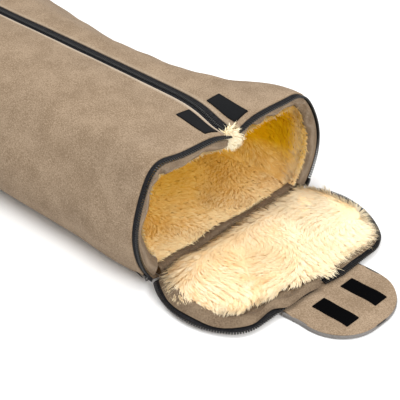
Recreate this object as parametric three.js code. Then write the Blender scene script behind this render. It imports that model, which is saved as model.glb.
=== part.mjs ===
// A lambskin-lined foot muff lying on its back, zipped up the middle, with its foot flap open.
// Millimetres, +X towards the foot end, +Z up. The origin is the middle of the underside of the back panel.
import * as THREE from "three";
import { mergeVertices } from "three/addons/utils/BufferGeometryUtils.js";

// ---- Driving dimensions ----
const BASE_LENGTH = 1000; // mouth plane to the head end of the back panel
const FRONT_LENGTH = 760; // mouth plane to the head edge of the front panels
const BODY_HEIGHT = 190; // top of the bag behind the shoulder
const LEAN = 0.07; // sideways drift of the bag's middle line per mm of length

const MOUTH = { halfWidth: 184, sideRadius: 127, widestAt: 86, cornerRadius: 50, crown: 1 };
const BODY = { halfWidth: 192, sideRadius: 118, widestAt: 88, cornerRadius: 75, crown: 6 };
const LOW_ANGLE = 36; // degrees below level where the side turns into the bottom corner
const HIGH_ANGLE = 40; // degrees above level where the side turns into the top corner
const SHAPE_RUN = 300; // length over which the mouth's section turns into the body's
const SHOULDER_RUN = 110; // length over which the top slopes down to the mouth

const FELT = 3; // outer wool felt
const PILE = 16.8; // lambskin, hide and pile together
const HEAD_HALF_WIDTH = 150; // back panel beyond the front panels
const HEAD_ROUND = 110; // length of the rounded head end
const BINDING = 3; // folded binding along a raw edge
const SEAM = 0.5; // back panel to front panels
const LIP_SETBACK = 1; // bottom lip behind the mouth plane

const FACING = 1.8; // felt facing round the mouth
const FACING_SETBACK = 7; // outer edge of the facing behind the mouth plane
const FACING_GAP = 2.5; // inner edge of the facing to the lambskin

const FIT = 0.4; // clearance between sewn layers of the bag
const FLAT_FIT = 0.3; // clearance between the flat layers of the flap and the tab
const TAPE = 0.7; // woven zip tape
const TAPE_TUCK = 9; // zip tape hidden under the felt
const CHAIN_WIDTH = 2.85; // one row of zip teeth
const CHAIN_THICKNESS = 2.8;
const TEETH_SETBACK = 0.8; // foot zip teeth behind the mouth plane
const STOP = 3; // length of a zip stop
const ZIP_GROOVE = 10; // felt edge to the middle of the main zip
const ZIP_MARGIN = 15; // felt edge to the mouth plane
const ZIP_END_GAP = 8; // each foot zip stops this far from the middle of the top

const HINGE_HEIGHT = 12; // fold line of the foot flap above the floor
const HINGE_OVERHANG = 8; // felt fold past each end of the flat bottom
const FLAP_FELT = 2.7;
const FLAP_BASE = 7.5; // underside of the flap above the floor
const FLAP_BORDER = 24.5; // felt border round the flap's lambskin
const FLAP_SETBACK = 2; // flap panels start this far from the fold line
const FLAP_PANEL_INSET = 6; // edge of the teeth to the edge of the flap's felt
const FLAP_ZIP_START = 2; // end of the flap's zip past the end of its felt
const FLAP_PILE = 16.4;
const FLAP_PILE_START = 16; // flap lambskin starts this far from the fold line

const TAB_HALF_WIDTH = 76;
const TAB_STRAIGHT = 20;
const TAB_ROUND = 65;
const TAB_FELT = 2.6;
const TAB_BASE = 1; // underside of the tab above the floor
const TAB_BINDING = 2;
const TAB_FOLD = 5.5; // fold line of the tab beyond the edge of the flap
const TAB_SETBACK = 1.5; // tab panels start this far from their fold line
const TAB_ROOT = 26; // part of the tab sewn under the flap
const TAB_ROOT_INSET = 6; // narrower than the tab on each side
const TAB_ROOT_OVERHANG = 1.5; // past the edge of the flap

const TUFT = { back: 11, length: 14, height: 12 }; // pile that stands out between the foot zips

const TOUCH_TAPE = { width: 25, length: 60, thickness: 1.2 };
const PAD = { start: 20, inner: 17 };
const STRIP = { start: 5.5, inner: 17 };

const SLIDER = { length: 14, halfWidth: 5.5, thickness: 5 };
const FOOT_SLIDER = { arc: 13, depth: 11, thickness: 4.5 };
const PULL = { length: 24, halfWidth: 3.5, thickness: 1.6 };
const MAIN_PULL = { length: 40, halfWidth: 4.5, thickness: 1.8 };
const PULL_GAP = 0.6; // slider to the end of its pull
const PULL_LIFT = 1.6; // free end of a pull above the felt

// ---- Finishes ----
const finish = (color, roughness) => new THREE.MeshStandardMaterial({ color, roughness, metalness: 0 });
const felt = finish(0xb29c84, 0.95);
const facingFelt = finish(0xa08d7a, 0.95);
const greyEdge = finish(0x6f7069, 0.8);
const lambskin = finish(0xf0dcae, 0.95);
const zipTape = finish(0x161616, 0.85);
const zipTeeth = finish(0x101010, 0.45);
const touchTape = finish(0x0d0d0f, 0.9);

const muff = new THREE.Group();

function add(name, geometry, material) {
  const mesh = new THREE.Mesh(geometry, material);
  mesh.name = name;
  muff.add(mesh);
  return mesh;
}

const RIGHT = 1; // +Y
const LEFT = -1; // -Y
const SIDES = [["left", LEFT], ["right", RIGHT]];
const rad = THREE.MathUtils.degToRad;
const lerp = THREE.MathUtils.lerp;

// ---- The bag's cross-section: flat bottom, corner, side, corner and crown, all tangent arcs ----
const BOTTOM_CORNER = 0;
const SIDE = 1;
const TOP_CORNER = 2;
const CROWN = 3;
const TOP = 4;

function arcsOf({ halfWidth, sideRadius, widestAt, cornerRadius, crown }) {
  const low = rad(LOW_ANGLE);
  const high = rad(HIGH_ANGLE);
  const top = rad(90 - crown);
  const sideY = halfWidth - sideRadius;
  const lowRadius = (widestAt - sideRadius * Math.sin(low)) / (1 - Math.sin(low));
  const lowReach = sideRadius - lowRadius;
  const highReach = sideRadius - cornerRadius;
  const highY = sideY + highReach * Math.cos(high);
  const highZ = widestAt + highReach * Math.sin(high);
  return [
    { y: sideY + lowReach * Math.cos(low), z: lowRadius, radius: lowRadius, from: -Math.PI / 2, to: -low },
    { y: sideY, z: widestAt, radius: sideRadius, from: -low, to: high },
    { y: highY, z: highZ, radius: cornerRadius, from: high, to: top },
    { y: 0, z: highZ - highY * Math.tan(top), radius: cornerRadius + highY / Math.cos(top), from: top, to: Math.PI / 2 },
  ];
}

const crownTop = (arcs) => arcs[CROWN].z + arcs[CROWN].radius;
const mouthArcs = arcsOf(MOUTH);
const MOUTH_HEIGHT = crownTop(mouthArcs);

// Arcs of the section that lies `back` millimetres behind the mouth plane.
function section(back) {
  const t = THREE.MathUtils.smoothstep(back, 0, SHAPE_RUN);
  const shape = {};
  for (const key of Object.keys(MOUTH)) shape[key] = lerp(MOUTH[key], BODY[key], t);
  return arcsOf(shape);
}

function topHeight(back) {
  const left = Math.max(0, 1 - back / SHOULDER_RUN);
  return lerp(BODY_HEIGHT, MOUTH_HEIGHT, left * left);
}

function middleY(back) {
  if (back < SHOULDER_RUN) return (-LEAN * back * back) / (2 * SHOULDER_RUN);
  return -LEAN * (back - SHOULDER_RUN / 2);
}

const xAt = (back) => BASE_LENGTH / 2 - back;

// A point on the bag. `round` runs from 0 at the end of the flat bottom to 4 at the top, and
// `depth` is measured inwards. The crown stops `edge` short of the middle.
function onBag(back, round, depth, side, edge = 0) {
  const arcs = section(back);
  const index = Math.min(Math.floor(round), CROWN);
  const { y, z, radius, from, to } = arcs[index];
  const end = index === CROWN ? Math.acos(edge / radius) : to;
  const angle = lerp(from, end, round - index);
  const stretch = topHeight(back) / crownTop(arcs);
  return new THREE.Vector3(
    xAt(back),
    middleY(back) + side * (y + (radius - depth) * Math.cos(angle)),
    stretch * (z + (radius - depth) * Math.sin(angle)),
  );
}

// A point on the crown, by its distance from the middle line.
function onCrown(back, fromMiddle, depth, side) {
  const arcs = section(back);
  const { z, radius } = arcs[CROWN];
  const angle = Math.acos(fromMiddle / radius);
  const stretch = topHeight(back) / crownTop(arcs);
  return new THREE.Vector3(
    xAt(back),
    middleY(back) + side * (radius - depth) * Math.cos(angle),
    stretch * (z + (radius - depth) * Math.sin(angle)),
  );
}

const flatEdge = (back) => section(back)[BOTTOM_CORNER].y;

// ---- Solid makers ----
// A box whose grid is bent through `place(u, v, layer)`, where layer is 0 or 1.
function bentPanel(us, vs, place) {
  const box = new THREE.BoxGeometry(1, 1, 1, us.length - 1, vs.length - 1, 1);
  box.deleteAttribute("normal");
  box.deleteAttribute("uv");
  const solid = mergeVertices(box);
  const position = solid.getAttribute("position");
  for (let i = 0; i < position.count; i++) {
    const u = us[Math.round((position.getX(i) + 0.5) * (us.length - 1))];
    const v = vs[Math.round((position.getY(i) + 0.5) * (vs.length - 1))];
    const p = place(u, v, position.getZ(i) > 0 ? 1 : 0);
    position.setXYZ(i, p.x, p.y, p.z);
  }
  return facingOut(solid);
}

// Turns every face round if the solid came out inside out, as a mirrored panel does.
function facingOut(solid) {
  const [a, b, c] = [0, 1, 2].map(() => new THREE.Vector3());
  const position = solid.getAttribute("position");
  const index = solid.getIndex();
  let volume = 0;
  for (let i = 0; i < index.count; i += 3) {
    a.fromBufferAttribute(position, index.getX(i));
    b.fromBufferAttribute(position, index.getX(i + 1));
    c.fromBufferAttribute(position, index.getX(i + 2));
    volume += a.dot(b.cross(c));
  }
  if (volume < 0) {
    for (let i = 0; i < index.count; i += 3) {
      const keep = index.getX(i + 1);
      index.setX(i + 1, index.getX(i + 2));
      index.setX(i + 2, keep);
    }
  }
  return solid;
}

// A flat outline in plan, given as [x, y] points, between two heights.
function slab(outline, low, high) {
  const shape = new THREE.Shape(outline.map(([x, y]) => new THREE.Vector2(x, y)));
  const solid = new THREE.ExtrudeGeometry(shape, { depth: high - low, bevelEnabled: false });
  return solid.translate(0, 0, low);
}

const steps = (from, to, count) => Array.from({ length: count + 1 }, (_, i) => lerp(from, to, i / count));

// ---- Where the layers start behind the mouth plane, and how deep they lie ----
const tapeDepth = FELT + FIT + 0.2;
const liningDepth = tapeDepth + TAPE + 2 * FIT;
const liningInside = liningDepth + PILE;
const liningStart = ZIP_MARGIN + TAPE_TUCK;
const mainZipStart = liningStart + 2;
const chainDepth = tapeDepth + TAPE + FIT / 2 - CHAIN_THICKNESS;

// ---- Stations shared by every layer of the bag, so that neighbouring facets stay parallel ----
const LENGTH_STATIONS = [mainZipStart, 45, 62, 80, SHOULDER_RUN, 165, 230, SHAPE_RUN, 450, 600];
const stations = (from, to) => [from, ...LENGTH_STATIONS.filter((s) => s > from + 5 && s < to - 5), to];
const ROUND_STATIONS = [
  ...steps(BOTTOM_CORNER, SIDE, 3),
  ...steps(SIDE, TOP_CORNER, 5).slice(1),
  ...steps(TOP_CORNER, CROWN, 4).slice(1),
  CROWN + 0.5,
  CROWN + 0.82,
  TOP,
];
const sideAndTop = ROUND_STATIONS.filter((r) => r >= SIDE);

// ---- Outer felt and lambskin lining ----
for (const [name, side] of SIDES) {
  add(
    `front_shell_${name}`,
    bentPanel(stations(ZIP_MARGIN, FRONT_LENGTH), ROUND_STATIONS, (back, round, layer) =>
      onBag(back, round, layer * FELT, side, ZIP_GROOVE),
    ),
    felt,
  );
  add(
    `front_lining_${name}`,
    bentPanel(stations(liningStart, FRONT_LENGTH), ROUND_STATIONS, (back, round, layer) =>
      onBag(back, round, layer ? liningInside : liningDepth, side, FIT),
    ),
    lambskin,
  );
  add(
    `head_binding_${name}`,
    bentPanel([FRONT_LENGTH + FIT, FRONT_LENGTH + FIT + BINDING], ROUND_STATIONS, (back, round, layer) =>
      onBag(back, round, layer * liningInside, side, ZIP_GROOVE),
    ),
    felt,
  );
}

// Plan of the back panel: it follows the front panels, then widens into the rounded head end.
const headStart = FRONT_LENGTH + FIT + BINDING;
function backPlan(start, inset, headInset) {
  const half = stations(start, FRONT_LENGTH).map((s) => [s, flatEdge(s) - inset]);
  half.push([headStart + FIT, flatEdge(FRONT_LENGTH) - inset]);
  half.push([headStart + HEAD_ROUND / 3, HEAD_HALF_WIDTH - headInset]);
  for (const turn of steps(0, Math.PI / 2, 7).slice(0, -1)) {
    const out = BASE_LENGTH - HEAD_ROUND + (HEAD_ROUND - headInset) * Math.sin(turn);
    half.push([out, (HEAD_HALF_WIDTH - headInset) * Math.cos(turn)]);
  }
  half.push([BASE_LENGTH - headInset, 0]);
  const left = half.map(([s, y]) => [xAt(s), middleY(s) - y]);
  const right = half.slice(0, -1).reverse().map(([s, y]) => [xAt(s), middleY(s) + y]);
  return [...left, ...right];
}

add("back_shell", slab(backPlan(LIP_SETBACK, SEAM, 0), 0, FELT), felt);
add("back_lining", slab(backPlan(liningStart, SEAM, BINDING + FIT), FELT + FIT, liningInside), lambskin);

// Binding round the edge of the back panel's head end.
function headBinding() {
  const turns = steps(-Math.PI / 2, Math.PI / 2, 14);
  const rim = (inset) =>
    turns.map((turn) => {
      const s = BASE_LENGTH - HEAD_ROUND + (HEAD_ROUND - inset) * Math.cos(turn);
      return [xAt(s), middleY(s) + (HEAD_HALF_WIDTH - inset) * Math.sin(turn)];
    });
  return slab([...rim(0), ...rim(BINDING).reverse()], FELT + FIT, liningInside);
}
add("back_binding", headBinding(), felt);

// ---- Felt facing inside the mouth, sloping in from the zip to the face of the lambskin ----
const facingOuter = { back: FACING_SETBACK, depth: tapeDepth + TAPE + FIT + FACING };
const facingInner = { back: liningStart - FACING_GAP, depth: liningInside };
const facingSlope = new THREE.Vector2(
  facingInner.back - facingOuter.back,
  facingInner.depth - facingOuter.depth,
).normalize();

function facingPoint(across, layer) {
  return {
    back: lerp(facingOuter.back, facingInner.back, across) + layer * FACING * facingSlope.y,
    depth: lerp(facingOuter.depth, facingInner.depth, across) - layer * FACING * facingSlope.x,
  };
}

for (const [name, side] of SIDES) {
  add(
    `mouth_facing_${name}`,
    bentPanel([0, 1], ROUND_STATIONS, (across, round, layer) => {
      const { back, depth } = facingPoint(across, layer);
      return onBag(back, round, depth, side, ZIP_END_GAP);
    }),
    facingFelt,
  );
}
add(
  "mouth_facing_bottom",
  bentPanel([0, 1], [-1, 1], (across, v, layer) => {
    const { back, depth } = facingPoint(across, layer);
    return new THREE.Vector3(xAt(back), v * (flatEdge(0) - SEAM), depth);
  }),
  facingFelt,
);

// Felt fold that the flap swings on, sewn along the bottom lip.
add(
  "hinge_strip",
  bentPanel([LIP_SETBACK, facingOuter.back - SEAM], [-1, 1], (back, v, layer) =>
    new THREE.Vector3(xAt(back), v * (flatEdge(0) + HINGE_OVERHANG), FELT + FIT + layer * FELT),
  ),
  felt,
);

// ---- Main zip along the middle of the top ----
const mainZipEnd = FRONT_LENGTH - 2;

for (const [name, side] of SIDES) {
  add(
    `main_zip_tape_${name}`,
    bentPanel(stations(mainZipStart, mainZipEnd), [CHAIN_WIDTH + FIT, ZIP_GROOVE + TAPE_TUCK], (back, y, layer) =>
      onCrown(back, y, tapeDepth + layer * TAPE, side),
    ),
    zipTape,
  );
  add(
    `main_zip_teeth_${name}`,
    bentPanel(stations(mainZipStart, mainZipEnd - STOP - FIT), [FIT / 2, CHAIN_WIDTH], (back, y, layer) =>
      onCrown(back, y, chainDepth + layer * CHAIN_THICKNESS, side),
    ),
    zipTeeth,
  );
  add(
    `main_zip_top_stop_${name}`,
    bentPanel([mainZipEnd - STOP, mainZipEnd], [FIT / 2, CHAIN_WIDTH], (back, y, layer) =>
      onCrown(back, y, chainDepth + layer * CHAIN_THICKNESS, side),
    ),
    zipTeeth,
  );
}
add(
  "main_zip_bottom_stop",
  bentPanel([mainZipStart - FIT - STOP, mainZipStart - FIT], [-CHAIN_WIDTH, CHAIN_WIDTH], (back, y, layer) =>
    onCrown(back, Math.abs(y), chainDepth + layer * CHAIN_THICKNESS, Math.sign(y)),
  ),
  zipTeeth,
);

// The slider is parked at the head end. Its pull starts level with the slider's top and slopes
// down to the zip towards the foot, so that it can be turned over on to the slider.
const sliderBack = mainZipEnd - STOP - FIT - SLIDER.length;
const sliderTop = chainDepth - FIT - SLIDER.thickness;
const onZip = (back, y, depth) =>
  new THREE.Vector3(xAt(back), middleY(back) + y, topHeight(back) - depth);
add(
  "main_zip_slider",
  bentPanel([sliderBack, sliderBack + SLIDER.length], [-1, 1], (back, v, layer) =>
    onZip(back, v * SLIDER.halfWidth, layer ? sliderTop : chainDepth - FIT),
  ),
  zipTeeth,
);
const mainPullStart = sliderBack - PULL_GAP;
add(
  "main_zip_pull",
  bentPanel([mainPullStart - MAIN_PULL.length, mainPullStart], [-1, 1], (back, v, layer) => {
    const along = (mainPullStart - back) / MAIN_PULL.length;
    const underside = lerp(sliderTop - PULL_GAP / 2, -PULL_LIFT, along);
    return onZip(back, v * MAIN_PULL.halfWidth, underside - layer * MAIN_PULL.thickness);
  }),
  zipTeeth,
);

// ---- Foot zips round the mouth, one up each side, with their sliders parked at the fold ----
const mouthChain = { start: TEETH_SETBACK, end: TEETH_SETBACK + CHAIN_WIDTH };
for (const [name, side] of SIDES) {
  add(
    `mouth_zip_tape_${name}`,
    bentPanel([mouthChain.end + FIT, liningStart - FIT], sideAndTop, (back, round, layer) =>
      onBag(back, round, tapeDepth + layer * TAPE, side, ZIP_END_GAP),
    ),
    zipTape,
  );
  add(
    `mouth_zip_teeth_${name}`,
    bentPanel([mouthChain.start, mouthChain.end], sideAndTop, (back, round, layer) =>
      onBag(back, round, chainDepth + layer * CHAIN_THICKNESS, side, ZIP_END_GAP),
    ),
    zipTeeth,
  );
}

const sideArc = mouthArcs[SIDE];
const sliderSpan = FOOT_SLIDER.arc / sideArc.radius;
const footSliderTop = chainDepth - FIT - FOOT_SLIDER.thickness;
function onSideArc(back, angle, depth, side) {
  return new THREE.Vector3(
    xAt(back),
    side * (sideArc.y + (sideArc.radius - depth) * Math.cos(angle)),
    sideArc.z + (sideArc.radius - depth) * Math.sin(angle),
  );
}
for (const [name, side] of SIDES) {
  const park = [-rad(LOW_ANGLE), -rad(LOW_ANGLE) + sliderSpan];
  const pullSpan = PULL.halfWidth / sideArc.radius;
  const middle = (park[0] + park[1]) / 2;
  add(
    `foot_zip_slider_${name}`,
    bentPanel([mouthChain.start, mouthChain.start + FOOT_SLIDER.depth], park, (back, angle, layer) =>
      onSideArc(back, angle, layer ? footSliderTop : chainDepth - FIT, side),
    ),
    zipTeeth,
  );
  const pullStart = mouthChain.start + FOOT_SLIDER.depth + PULL_GAP;
  const pullWidth = [middle - pullSpan, middle + pullSpan];
  add(
    `foot_zip_pull_${name}`,
    bentPanel([pullStart, pullStart + PULL.length], pullWidth, (back, angle, layer) => {
      const along = (back - pullStart) / PULL.length;
      const underside = lerp(footSliderTop - PULL_GAP / 2, -PULL_LIFT, along);
      return onSideArc(back, angle, underside - layer * PULL.thickness, side);
    }),
    zipTeeth,
  );
}

// ---- Soft touch-tape pads either side of the main zip ----
for (const [name, side] of SIDES) {
  add(
    `loop_pad_${name}`,
    bentPanel(
      stations(PAD.start, PAD.start + TOUCH_TAPE.length),
      [PAD.inner, PAD.inner + TOUCH_TAPE.width],
      (back, y, layer) => onCrown(back, y, -FIT - layer * TOUCH_TAPE.thickness, side),
    ),
    touchTape,
  );
}

// Lambskin that stands out between the two foot zips and the end of the main zip.
const tuft = new THREE.SphereGeometry(1, 10, 7).scale(TUFT.length / 2, ZIP_END_GAP - 1, TUFT.height / 2);
add("lining_tuft", tuft.translate(xAt(TUFT.back), 0, topHeight(TUFT.back) - 1 - TUFT.height / 2), lambskin);

// ---- Foot flap: the mouth's outline laid flat in front of the fold line ----
const flapX = (height) => BASE_LENGTH / 2 + height - HINGE_HEIGHT;

// Half of the mouth's outline, inset, from the fold line up to `edge` short of the middle.
function flapHalf(inset, start, edge = 0) {
  const points = [];
  const low = HINGE_HEIGHT + start;
  for (const [index, count] of [[SIDE, 8], [TOP_CORNER, 5], [CROWN, 2]]) {
    const { y, z, radius, from, to } = mouthArcs[index];
    const r = radius - inset;
    const begin = index === SIDE ? Math.max(from, Math.asin((low - z) / r)) : from;
    const end = index === CROWN ? Math.acos(edge / r) : to;
    const turns = steps(begin, end, count);
    for (const turn of index === SIDE ? turns : turns.slice(1)) {
      points.push([flapX(z + r * Math.sin(turn)), y + r * Math.cos(turn)]);
    }
  }
  return points;
}

// The whole outline, run up the left side and down the right.
function flapOutline(inset, start) {
  const half = flapHalf(inset, start);
  const left = half.slice(0, -1).map(([x, y]) => [x, -y]);
  return [...left, ...half.reverse()].reverse();
}

const flapTop = FLAP_BASE + FLAP_FELT;
const flapTapeLow = flapTop + FLAT_FIT;
const facingLow = flapTapeLow + TAPE + FLAT_FIT;
const facingTop = facingLow + FACING;
const pileLow = facingTop + FLAT_FIT;
add("flap_outer_panel", slab(flapOutline(FLAP_PANEL_INSET, FLAP_SETBACK), FLAP_BASE, flapTop), felt);
add("flap_facing", slab(flapOutline(FLAP_PANEL_INSET, FLAP_SETBACK), facingLow, facingTop), facingFelt);
add("flap_lambskin", slab(flapOutline(FLAP_BORDER, FLAP_PILE_START), pileLow, pileLow + FLAP_PILE), lambskin);

for (const [name, side] of SIDES) {
  const zipStart = FLAP_SETBACK + FLAP_ZIP_START;
  const strip = (outer, inner) => {
    const out = flapHalf(outer, zipStart, ZIP_END_GAP);
    const back = flapHalf(inner, zipStart, ZIP_END_GAP).reverse();
    const loop = [...out, ...back].map(([x, y]) => [x, side * y]);
    return side === RIGHT ? loop : loop.reverse();
  };
  add(
    `flap_zip_teeth_${name}`,
    slab(strip(FIT / 2, CHAIN_WIDTH), flapTapeLow + TAPE / 2 - CHAIN_THICKNESS / 2, flapTapeLow + TAPE / 2 + CHAIN_THICKNESS / 2),
    zipTeeth,
  );
  add(
    `flap_zip_tape_${name}`,
    slab(strip(CHAIN_WIDTH + FIT, FLAP_PANEL_INSET + TAPE_TUCK), flapTapeLow, flapTapeLow + TAPE),
    zipTape,
  );
}

// ---- Closing tab: two felt layers with a bound edge, folding on the far edge of the flap ----
const flapEnd = flapX(MOUTH_HEIGHT);
const tabFoldX = flapEnd + TAB_FOLD;
const tabStart = tabFoldX + TAB_SETBACK;

function tabHalf(grow) {
  const half = [[tabStart, TAB_HALF_WIDTH + grow]];
  for (const turn of steps(0, Math.PI / 2, 8)) {
    half.push([
      tabStart + TAB_STRAIGHT + (TAB_ROUND + grow) * Math.sin(turn),
      (TAB_HALF_WIDTH + grow) * Math.cos(turn),
    ]);
  }
  return half;
}

function tabOutline(grow) {
  const half = tabHalf(grow);
  const right = half.slice(0, -1).reverse();
  return [...half.slice(0, -1).map(([x, y]) => [x, -y]), half[half.length - 1], ...right];
}

const tabUpper = TAB_BASE + TAB_FELT + FLAT_FIT;
const tabTop = tabUpper + TAB_FELT;
add("tab_lower_panel", slab(tabOutline(0), TAB_BASE, TAB_BASE + TAB_FELT), greyEdge);
add("tab_upper_panel", slab(tabOutline(0), tabUpper, tabTop), felt);
add(
  "tab_binding",
  slab([...tabOutline(TAB_BINDING), ...tabOutline(FIT).reverse()], TAB_BASE, tabTop),
  greyEdge,
);
const rootHalf = TAB_HALF_WIDTH - TAB_ROOT_INSET;
const rootEnd = flapEnd + TAB_ROOT_OVERHANG;
add(
  "tab_root",
  slab(
    [
      [flapEnd - TAB_ROOT, -rootHalf],
      [rootEnd, -rootHalf],
      [rootEnd, rootHalf],
      [flapEnd - TAB_ROOT, rootHalf],
    ],
    FLAP_BASE - FLAT_FIT - TAB_FELT,
    FLAP_BASE - FLAT_FIT,
  ),
  felt,
);
for (const [name, side] of SIDES) {
  const start = tabStart + STRIP.start;
  const strip = slab(
    [
      [start, STRIP.inner],
      [start + TOUCH_TAPE.length, STRIP.inner],
      [start + TOUCH_TAPE.length, STRIP.inner + TOUCH_TAPE.width],
      [start, STRIP.inner + TOUCH_TAPE.width],
    ].map(([x, y]) => [x, side * y]),
    tabTop + FLAT_FIT,
    tabTop + FLAT_FIT + TOUCH_TAPE.thickness,
  );
  add(`hook_strip_${name}`, strip, touchTape);
}

export default muff;
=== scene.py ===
import math

import bpy
import numpy as np
from mathutils import Matrix, Vector


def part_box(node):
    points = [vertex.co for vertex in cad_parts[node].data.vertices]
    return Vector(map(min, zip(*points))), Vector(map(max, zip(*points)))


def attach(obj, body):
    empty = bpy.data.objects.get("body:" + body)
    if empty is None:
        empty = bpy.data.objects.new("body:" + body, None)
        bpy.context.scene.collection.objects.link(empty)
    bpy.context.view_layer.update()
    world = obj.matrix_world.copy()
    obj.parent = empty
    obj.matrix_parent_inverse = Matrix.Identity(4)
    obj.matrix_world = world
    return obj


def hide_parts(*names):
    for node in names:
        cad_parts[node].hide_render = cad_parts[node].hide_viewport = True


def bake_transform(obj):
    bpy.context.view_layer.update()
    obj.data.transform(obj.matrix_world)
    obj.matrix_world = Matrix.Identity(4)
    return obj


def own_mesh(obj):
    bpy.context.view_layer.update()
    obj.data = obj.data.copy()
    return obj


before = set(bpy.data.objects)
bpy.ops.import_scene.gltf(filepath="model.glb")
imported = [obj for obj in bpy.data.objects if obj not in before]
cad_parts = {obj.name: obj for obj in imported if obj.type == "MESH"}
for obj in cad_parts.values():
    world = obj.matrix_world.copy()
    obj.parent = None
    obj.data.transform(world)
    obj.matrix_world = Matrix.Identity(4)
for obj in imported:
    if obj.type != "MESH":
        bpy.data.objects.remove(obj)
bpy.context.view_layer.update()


# ---- Camera, light and floor ----
# The muff lies on a white table and is seen from its open foot end, from above and to one side.
# A large soft box hangs over the near side, and the white room fills the shadows.
MM = 0.001
AZIMUTH = math.radians(46.14)
ELEVATION = math.radians(36.49)
CAMERA_DISTANCE = 1.494
CAMERA_LENS = 94.44
AIM_HEIGHT = 0.080
AIM_LEFT = 0.0510
AIM_DOWN = 0.0098
LIT_PLACE = (0.3, 0, 0.1)
mouth_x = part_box("hinge_strip")[1][0] + 1 * MM

back_of_view = np.array([
    math.sin(AZIMUTH) * math.cos(ELEVATION),
    -math.cos(AZIMUTH) * math.cos(ELEVATION),
    math.sin(ELEVATION),
])
right_of_view = np.array([math.cos(AZIMUTH), math.sin(AZIMUTH), 0.0])
up_of_view = np.cross(back_of_view, right_of_view)
aim = np.array([mouth_x, 0.0, AIM_HEIGHT]) - AIM_LEFT * right_of_view - AIM_DOWN * up_of_view


def new_object(name, data):
    piece = bpy.data.objects.new(name, data)
    bpy.context.scene.collection.objects.link(piece)
    return piece


camera_data = bpy.data.cameras.new("camera")
camera_data.lens = CAMERA_LENS
camera = new_object("camera", camera_data)
camera.location = aim + CAMERA_DISTANCE * back_of_view
camera.rotation_euler = (math.pi / 2 - ELEVATION, 0, AZIMUTH)
bpy.context.scene.camera = camera
bpy.context.scene.view_settings.view_transform = "Standard"

world = bpy.data.worlds.new("studio")
world.use_nodes = True
world.node_tree.nodes["Background"].inputs["Color"].default_value = (1, 0.99, 0.975, 1)
world.node_tree.nodes["Background"].inputs["Strength"].default_value = 0.62
bpy.context.scene.world = world


def soft_box(name, place, size, power):
    light_data = bpy.data.lights.new(name, "AREA")
    light_data.size = size
    light_data.energy = power
    light = new_object(name, light_data)
    light.location = place
    light.rotation_euler = (Vector(place) - Vector(LIT_PLACE)).to_track_quat("Z", "Y").to_euler()


soft_box("key", (-0.1, -0.5, 2.3), 1.5, 40)
soft_box("rim", (1.2, 1.3, 1.6), 1.0, 10)
soft_box("front", (2.1, -0.2, 0.9), 0.9, 22)

bpy.ops.object.select_all(action="DESELECT")
bpy.ops.mesh.primitive_plane_add(size=12, location=(0, 0, 0))
floor = bpy.context.object
floor.name = "floor"
floor_material = bpy.data.materials.new("white table")
floor_material.use_nodes = True
floor_shader = floor_material.node_tree.nodes["Principled BSDF"]
floor_shader.inputs["Base Color"].default_value = (0.93, 0.93, 0.93, 1)
floor_shader.inputs["Roughness"].default_value = 0.9
floor.data.materials.append(floor_material)


# ---- Outer bag ----
# Two front panels and a back panel of boiled wool felt, sewn into a tube with a flat bottom.
# Each is a sheet bent round the same cross-section, then given the felt's thickness.
MOUTH = {"half_width": 184, "side_radius": 127, "widest_at": 86, "corner_radius": 50, "crown": 1}
BODY = {"half_width": 192, "side_radius": 118, "widest_at": 88, "corner_radius": 75, "crown": 6}
LOW_ANGLE = math.radians(36)
HIGH_ANGLE = math.radians(40)
SHAPE_RUN = 300
SHOULDER_RUN = 110
BODY_HEIGHT = 190
LEAN = 0.07
FELT = 3.0
FRONT_LENGTH = 760
BASE_LENGTH = 1000
ZIP_GROOVE = 10
ZIP_MARGIN = 15
SIDES = (("left", -1), ("right", 1))
MOUTH_X = mouth_x / MM


def ease(value, start, end):
    t = np.clip((value - start) / (end - start), 0, 1)
    return t * t * (3 - 2 * t)


def hump(value, middle, width):
    return np.exp(-(((value - middle) / width) ** 2))


def ripple(points, size, seed, waves=14):
    """Smooth random waves about `size` long, from -1 to 1 or so, at an array of points."""
    rng = np.random.default_rng(seed)
    ways = rng.normal(size=(waves, 3))
    ways *= (2 * math.pi / size) * rng.uniform(0.6, 1.5, (waves, 1)) / np.linalg.norm(ways, axis=1)[:, None]
    phases = rng.uniform(0, 2 * math.pi, waves)
    return np.sin(points @ ways.T + phases).sum(-1) / math.sqrt(waves)


def arcs_at(back):
    """The tangent arcs of the bag's section: y, z, radius and the angles it runs between."""
    t = ease(back, 0, SHAPE_RUN)
    half, side, widest, corner, crown = (MOUTH[k] + t * (BODY[k] - MOUTH[k]) for k in MOUTH)
    top = np.radians(90 - crown)
    side_y = half - side
    low = (widest - side * math.sin(LOW_ANGLE)) / (1 - math.sin(LOW_ANGLE))
    low_y = side_y + (side - low) * math.cos(LOW_ANGLE)
    high_y = side_y + (side - corner) * math.cos(HIGH_ANGLE)
    high_z = widest + (side - corner) * math.sin(HIGH_ANGLE)
    one = np.ones_like(t)
    return (
        (low_y, low, low, -math.pi / 2 * one, -LOW_ANGLE * one),
        (side_y, widest, side, -LOW_ANGLE * one, HIGH_ANGLE * one),
        (high_y, high_z, corner, HIGH_ANGLE * one, top),
        (0 * one, high_z - high_y * np.tan(top), corner + high_y / np.cos(top), top, math.pi / 2 * one),
    )


def top_height(back):
    mouth_height = sum(arcs_at(np.zeros(1))[3][1:3])[0]
    return BODY_HEIGHT + (mouth_height - BODY_HEIGHT) * np.clip(1 - back / SHOULDER_RUN, 0, 1) ** 2


def middle_y(back):
    straight = -LEAN * (back - SHOULDER_RUN / 2)
    return np.where(back < SHOULDER_RUN, -LEAN * back * np.abs(back) / (2 * SHOULDER_RUN), straight)


def zip_shift(back):
    """How far the slack front has slipped sideways behind the mouth, at its middle line."""
    return 8 * ease(back, 30, 135)


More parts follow.
